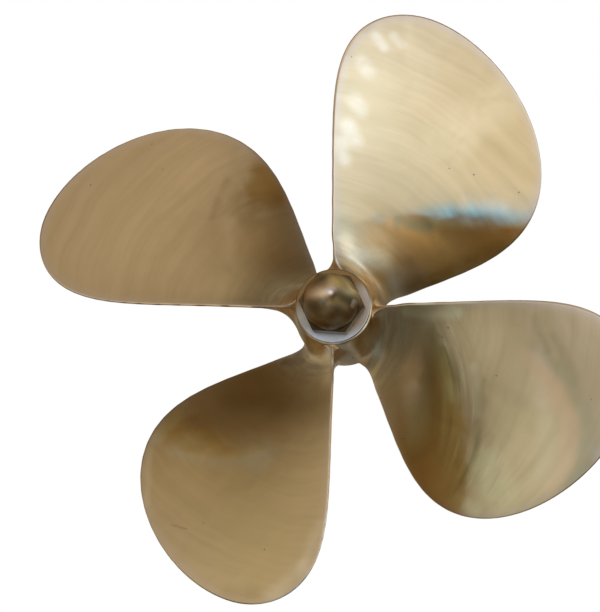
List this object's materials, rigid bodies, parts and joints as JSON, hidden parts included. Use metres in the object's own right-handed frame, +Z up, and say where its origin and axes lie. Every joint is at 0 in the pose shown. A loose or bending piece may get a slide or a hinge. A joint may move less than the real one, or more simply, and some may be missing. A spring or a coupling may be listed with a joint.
{
  "type": "ship propeller",
  "caption": "Right-handed fixed-pitch bronze ship propeller with wide blades, a cast hub, a washer and a domed hexagon nut, keyed on the tapered end of its shaft.",
  "frame": {"origin": "centre of the shaft's flat forward end, where the shaft is cut", "axes": "+Z up, +Y forward along the shaft, so the nut and the after side of the blades face -Y"},
  "size_m": [0.9578, 0.3673, 0.9578],
  "materials": {
    "blade_bronze": "ground and worn bronze with soft, blurred reflections and grinding streaks across the blades",
    "nut_bronze": "smoothly polished bronze, darker than the blades",
    "washer_steel": "dull, pale grey steel",
    "shaft_steel": "finely turned steel",
    "seal_rubber": "matte black rubber"
  },
  "bodies": {
    "root": {"propeller_casting": "blade_bronze", "tail_shaft": "shaft_steel", "shaft_key": "shaft_steel", "nut_washer": "washer_steel", "domed_nut": "nut_bronze", "hub_seal": "seal_rubber"}
  },
  "joints": []
}
